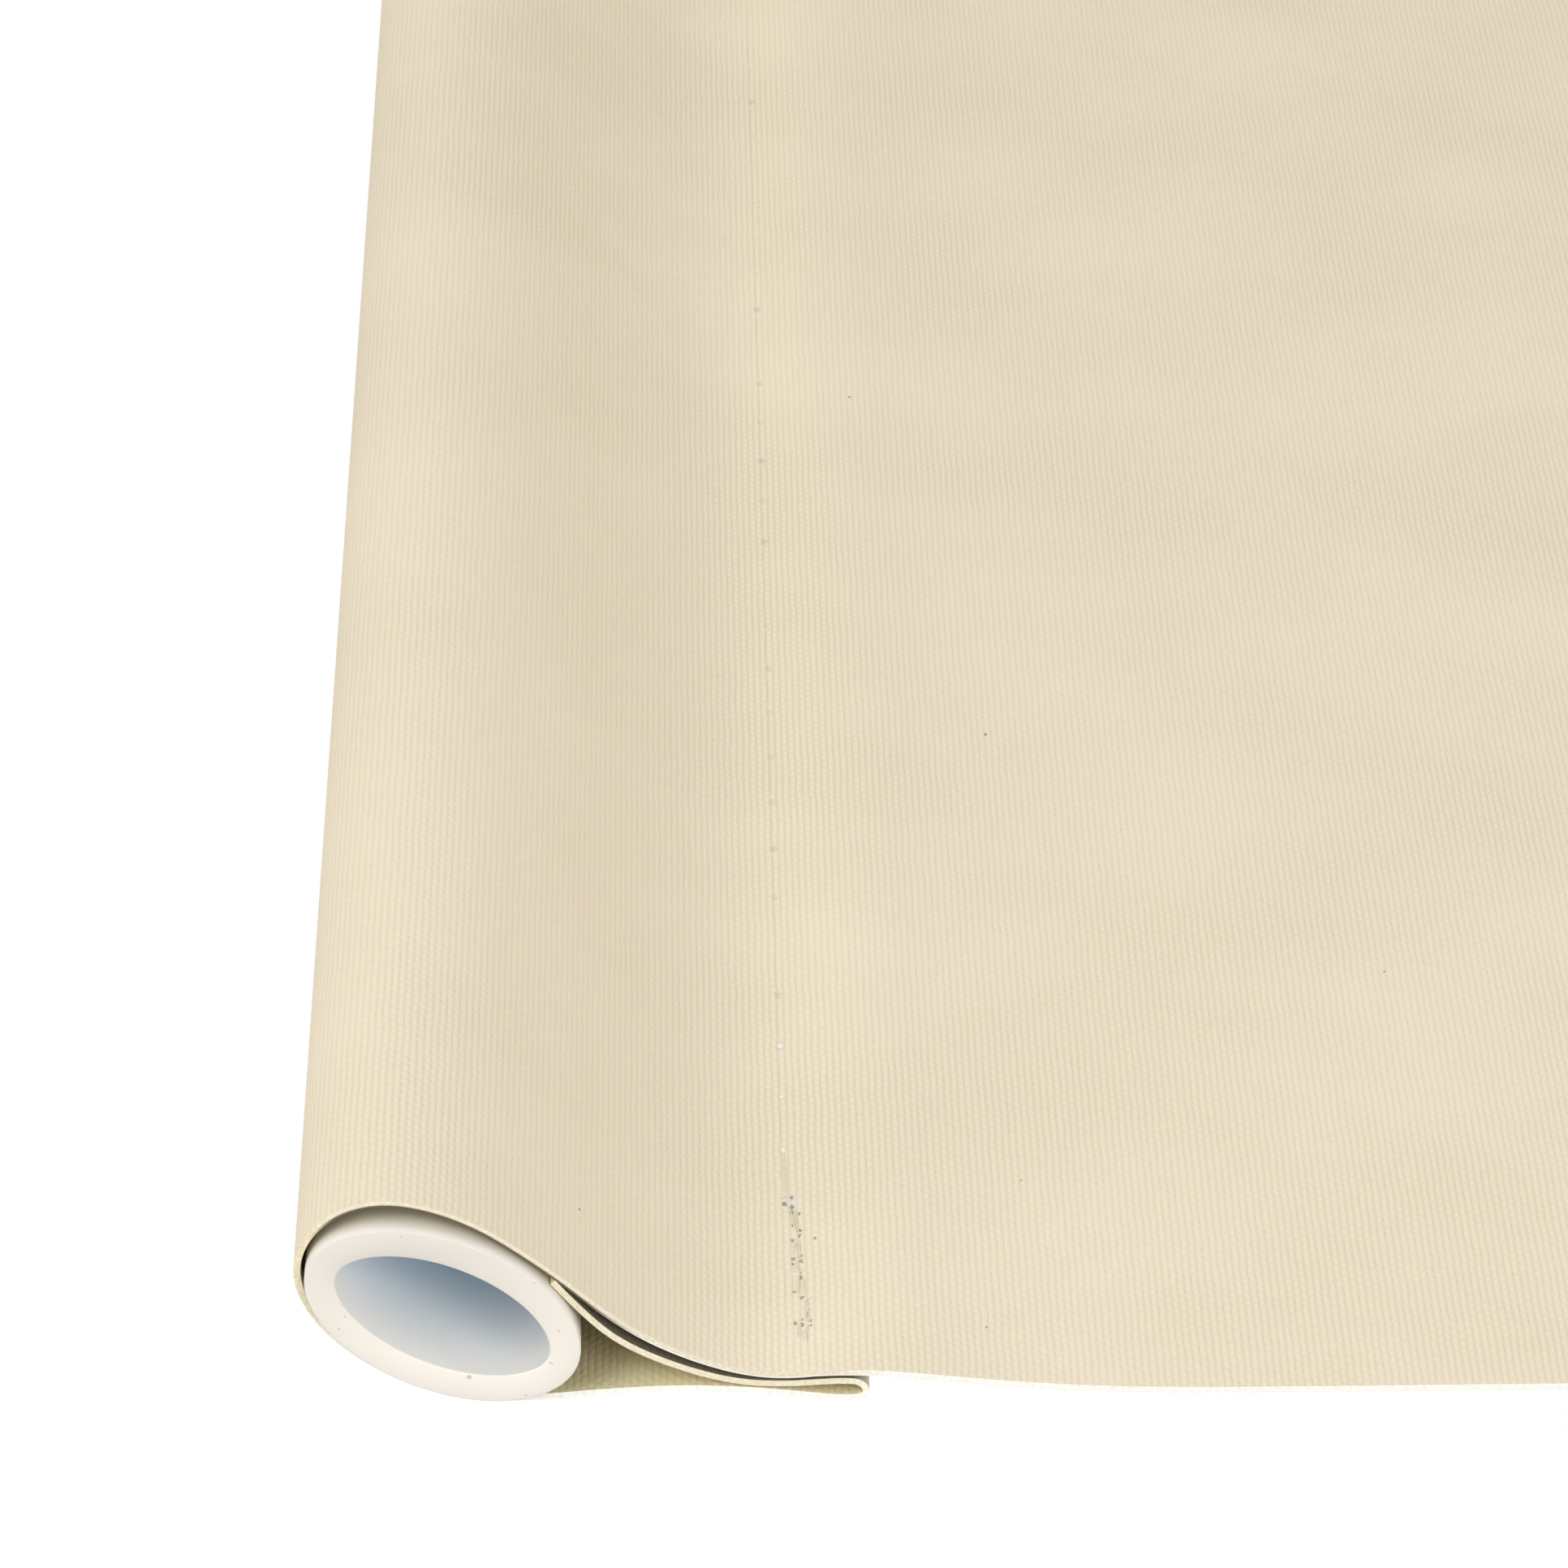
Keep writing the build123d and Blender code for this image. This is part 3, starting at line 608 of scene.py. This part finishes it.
if outwards.normal.dot(outwards.center - middle) < 0:
    hem_tube.data.flip_normals()
bpy.ops.object.modifier_add(type="SOLIDIFY")
wall = hem_tube.modifiers[-1]
wall.thickness = tube_wall
wall.offset = -1
wall.use_even_offset = True
bpy.ops.object.modifier_apply(modifier=wall.name)
bpy.ops.object.modifier_add(type="BEVEL")
burr = hem_tube.modifiers[-1]
burr.width = 0.00012
burr.segments = 2
burr.limit_method = "ANGLE"
burr.angle_limit = math.radians(50)
bpy.ops.object.modifier_apply(modifier=burr.name)
bpy.ops.object.shade_smooth_by_angle(angle=math.radians(60))

# Sawdust and pits on the sawn face: a few small dark specks
saw_speck_group, given, put = new_group(
    "Saw specks",
    [("Place", "NodeSocketVector", None), ("Spacing", "NodeSocketFloat", 1000.0),
     ("Share", "NodeSocketFloat", 0.3)],
    [("Mask", "NodeSocketFloat")])
cells = add_node(
    saw_speck_group, "ShaderNodeTexVoronoi", [("Vector", given["Place"]), ("Scale", given["Spacing"])])
dot = ranged(saw_speck_group, cells.outputs["Distance"], 0.045, 0.085, 1.0, 0.0)
pick = add_node(saw_speck_group, "ShaderNodeSeparateColor", [(0, cells.outputs["Color"])])
picked = maths(saw_speck_group, "LESS_THAN", pick.outputs[0], given["Share"])
saw_speck_group.links.new(maths(saw_speck_group, "MULTIPLY", dot, picked), put["Mask"])

# One larger pit near the lower edge of the face
saw_pit = (half_width + tube_slide, hem_centre.y + 0.00444, hem_centre.z + 0.00150)
pit_size = 0.0002


def plastic(name, mouth, deep, depth, specks, fall):
    """White plastic that goes from the mouth's colour to one deep inside, with painted shade along one axis."""
    made, tree, shader = new_material(name)
    place = add_node(tree, "ShaderNodeTexCoord").outputs["Object"]
    grain = place_group(tree, grain_group, Place=place, Scale=1500.0, Patches=150.0)
    sides = add_node(tree, "ShaderNodeSeparateXYZ", [(0, place)]).outputs
    along = maths(tree, "ABSOLUTE", maths(tree, "SUBTRACT", sides[0], tube_slide))
    along = ranged(tree, along, half_width - depth, half_width - 0.0001)
    colour = tinted(tree, (*deep, 1), along, mouth)
    shade = maths(tree, "MULTIPLY_ADD", grain["Mask"], 0.1, 0.95)
    axis, start, end, first, last = fall
    shade = maths(tree, "MULTIPLY", shade, ranged(tree, sides[axis], start, end, first, last))
    colour = shaded(tree, colour, shade)
    mark = place_group(tree, saw_speck_group, Place=place, Share=specks)["Mask"]
    pit = place_group(tree, speck_group, Cloth=place, Spot=saw_pit, Size=pit_size)["Mask"]
    colour = marked(tree, colour, maths(tree, "MAXIMUM", mark, pit), 0.55, (0.32, 0.27, 0.27))
    tree.links.new(colour, shader.inputs["Base Color"])
    shader.inputs["Roughness"].default_value = 0.5
    add_bump(tree, shader, grain["Height"], 0.4, 0.00003)
    return made


# Each painted fall of light and shade: its axis, where it starts and ends, and the shade at either end
# Painted shade: the sawn face is darker towards the room side
sawn_face_painted_shade = (1, hem_centre.y - 0.0045, hem_centre.y + 0.002, 0.86, 1.0)
# Painted shade: the skin is a little darker towards the room side
skin_painted_shade = (1, hem_centre.y - 0.0045, hem_centre.y + 0.002, 0.97, 1.0)
# Painted light and shade: the bore is lighter towards its lower side and darker towards its upper side
bore_painted_light_and_shade = (2, hem_centre.z - 0.0055, hem_centre.z + 0.0057, 1.13, 0.86)
sawn_colour = (0.87, 0.82, 0.735)
for material in (
        plastic("Sawn plastic", sawn_colour, sawn_colour, 0.002, 0.9, sawn_face_painted_shade),
        # Painted shade: the bore goes bluish grey deep inside
        plastic("Bore plastic", (0.80, 0.775, 0.73), (0.70, 0.81, 0.90), 0.0105, 0.0, bore_painted_light_and_shade),
        # Painted shade: the tube's skin goes dark where it runs in under the cloth
        plastic("Tube skin", (0.90, 0.86, 0.79), (0.42, 0.38, 0.31), 0.0021, 0.0, skin_painted_shade)):
    hem_tube.data.materials.append(material)
for face in hem_tube.data.polygons:
    middle = Vector((face.center.x, hem_centre.y, hem_centre.z))
    if abs(face.normal.x) < 0.2:
        face.material_index = 1 if face.normal.dot(face.center - middle) < 0 else 2
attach(hem_tube, "hem")
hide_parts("hem_tube")


# Hanging cloth
# One straight drop from the back of the roller to the hem. It rolls up as the
# hem rises, which the blind's model shows by flattening it towards the roller.

panel_y = -0.01347
panel_top = 0.0
panel_bottom = pocket_line[0].z
panel_rows = 150
panel_drop = panel_bottom - panel_top
panel_line = [Vector((0, panel_y, panel_top + panel_drop * k / panel_rows)) for k in range(panel_rows + 1)]
hanging_cloth = cloth_sheet(
    "hanging_cloth", panel_line, cloth_columns, panel_drop, lambda x, z, length: ripple(x, z))
finish_cloth(hanging_cloth)
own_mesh(hanging_cloth)
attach(hanging_cloth, "brackets")
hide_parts("cloth_panel")


# Cloth on the roller
# Three turns stay on the tube when the blind is down, so that the tape at the
# inner end is never pulled.

roller_axis_y = -0.03
outer_turn_r = 0.0166225
turn_pitch = 0.00047
centre_shift = turn_pitch / 4
half_turns = 6
half_turn_steps = 32
roll_line = []
for half in range(half_turns):
    r = outer_turn_r - half * turn_pitch / 2 - cloth_thickness / 2
    shift = centre_shift if half % 2 == 0 else -centre_shift
    for k in range(0 if half == 0 else 1, half_turn_steps + 1):
        angle = math.pi * (half + k / half_turn_steps)
        roll_line.append(Vector((0, roller_axis_y + shift + r * math.cos(angle), r * math.sin(angle))))
roll_line.reverse()
roll_length = sum((after - before).length for before, after in zip(roll_line, roll_line[1:]))
roll_columns = 24
cloth_turns = cloth_sheet(
    "cloth_turns", roll_line, roll_columns, panel_drop - roll_length, lambda x, z, length: 0)
finish_cloth(cloth_turns)
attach(cloth_turns, "roller")
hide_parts("cloth_roll")


# Seam thread
# Clear nylon monofilament, lockstitched through all three layers. The last
# stitches at the edge are sewn over each other to lock the end.

def front_of_hem(x, z):
    """The cloth's room face at a place across the hem."""
    in_front = Vector((x, -0.08, z))
    return hem_pocket.ray_cast(in_front, Vector((0, 1, 0)))[1:3]


def stitch(start, end, rise, thickness):
    """One stitch of thread that leaves the cloth, lies on it and dives again."""
    points = []
    sunk = -0.00012
    for share, lift in ((0, sunk), (0.06, 0.2 * rise), (0.3, rise), (0.7, rise), (0.94, 0.2 * rise), (1, sunk)):
        x = start[0] + (end[0] - start[0]) * share
        z = start[1] + (end[1] - start[1]) * share
        place, normal = front_of_hem(x, z)
        points.append(place + normal * lift)
    thread = nurbs_path(points, 2)
    thread.data.bevel_depth = thickness / 2
    thread.data.bevel_resolution = 1
    thread.data.use_fill_caps = True
    bpy.ops.object.convert(target="MESH")
    return bpy.context.object


random.seed(7)
seam_base = hem_centre.z + seam_height
threads = []
tight_rise, tight_thickness = 0.00001, 0.00006
loose_rise, loop_rise, loose_thickness = 0.00005, 0.00012, 0.00009
x = first_needle_hole
while x - stitch_length > -half_width + 0.004:
    start = (x, seam_base + random.uniform(-1, 1) * 0.00006)
    threads.append(stitch(start, (x - stitch_length, seam_base), tight_rise, tight_thickness))
    x -= stitch_length

# Backstitches, each from one end to the other in millimetres, as the marks are
backstitches = [
    ((25.1, 21.15), (18.9, 21.3)), ((18.8, 21.4), (15.3, 21.8)), ((18.5, 21.7), (15.0, 22.0)),
    ((15.0, 21.7), (12.5, 21.6)), ((14.8, 22.0), (12.3, 22.0)), ((12.4, 21.6), (10.6, 22.2)),
    ((10.6, 21.9), (8.3, 21.8)), ((10.4, 22.2), (8.2, 22.2)), ((8.2, 22.2), (5.3, 22.5)),
    ((8.0, 22.4), (5.2, 22.2)), ((5.2, 21.8), (3.4, 21.8)), ((5.0, 22.3), (3.2, 22.2))]
for ends in backstitches:
    start, end = [(half_width - inwards / 1000, hem_centre.z + up / 1000) for inwards, up in ends]
    threads.append(stitch(start, end, loose_rise, loose_thickness))
loop_length = 0.0006
for inwards, up, _ in rubbed_places:
    lean = random.uniform(-1, 1)
    x = half_width - inwards / 1000 + random.uniform(-1, 1) * 0.0002
    z = hem_centre.z + up / 1000 - loop_length / 2 * lean
    end = (x - loop_length * (1.2 - abs(lean)), z + loop_length * lean)
    threads.append(stitch((x, z), end, loop_rise, loose_thickness))
bpy.ops.object.select_all(action="DESELECT")
for thread in threads:
    thread.select_set(True)
bpy.context.view_layer.objects.active = threads[0]
bpy.ops.object.join()
seam_thread = bpy.context.object
seam_thread.name = "seam_thread"
monofilament, tree, shader = new_material("Clear monofilament")
place = add_node(tree, "ShaderNodeTexCoord").outputs["Object"]
grain = place_group(tree, grain_group, Place=place, Scale=700.0, Patches=400.0)
colour = tinted(tree, (0.88, 0.80, 0.64, 1), grain["Mask"], (0.92, 0.86, 0.73))
tree.links.new(colour, shader.inputs["Base Color"])
shader.inputs["Roughness"].default_value = 0.3
shader.inputs["IOR"].default_value = 1.4
shader.inputs["Transmission Weight"].default_value = 0.15
seam_thread.data.materials.append(monofilament)
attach(seam_thread, "hem")


# Floor, light and background
# A pale studio floor under the hanging blind, soft lamps below its lower corner,
# beyond its end and on the room side, and a white background.

bpy.ops.object.select_all(action="DESELECT")
floor_z = -1.9
bpy.ops.mesh.primitive_plane_add(size=12, location=(0, 0, floor_z))
floor = bpy.context.object
floor.name = "studio_floor"
pale_floor, tree, shader = new_material("Pale floor")
shader.inputs["Base Color"].default_value = (0.93, 0.93, 0.93, 1)
shader.inputs["Roughness"].default_value = 0.9
rays = tree.nodes.new("ShaderNodeLightPath").outputs
lifted = maths(tree, "MULTIPLY", rays["Is Camera Ray"], 0.5)
tree.links.new(lifted, shader.inputs["Emission Strength"])
shader.inputs["Emission Color"].default_value = (1, 1, 1, 1)
floor.data.materials.append(pale_floor)

world = bpy.data.worlds.new("Studio")
world.use_nodes = True
bpy.context.scene.world = world
tree = world.node_tree
around = tree.nodes["Background"]
around.inputs["Color"].default_value = (1, 1, 1, 1)
around.inputs["Strength"].default_value = 0.605

# The world shows white to the camera, in reflections and through glass, and lights with its own strength
rays = tree.nodes.new("ShaderNodeLightPath").outputs
seen = maths(tree, "MAXIMUM", rays["Is Camera Ray"], rays["Is Glossy Ray"])
seen = maths(tree, "MAXIMUM", seen, rays["Is Transmission Ray"])
white = add_node(tree, "ShaderNodeBackground", [("Color", (1, 1, 1, 1)), ("Strength", 1.0)])
mix = add_node(tree, "ShaderNodeMixShader", [(0, seen), (1, around.outputs[0]), (2, white.outputs[0])])
tree.links.new(mix.outputs[0], tree.nodes["World Output"].inputs["Surface"])


def soft_lamp(name, place, aim, size, power):
    """A square soft lamp that faces a point."""
    bpy.ops.object.select_all(action="DESELECT")
    bpy.ops.object.light_add(type="AREA", location=place)
    lamp = bpy.context.object
    lamp.name = name
    lamp.rotation_euler = (Vector(aim) - Vector(place)).to_track_quat("-Z", "Y").to_euler()
    lamp.data.size = size
    lamp.data.energy = power


soft_lamp("low_lamp", (0.62, -0.42, -1.34), (0.27, 0, -0.89), 0.5, 2.15)
soft_lamp("end_lamp", (1.5, -0.6, -0.2), (0.3, 0, -0.9), 0.9, 8.0)
soft_lamp("room_lamp", (-0.2, -2.2, 0.1), (-0.1, 0, -0.3), 1.6, 5.6)
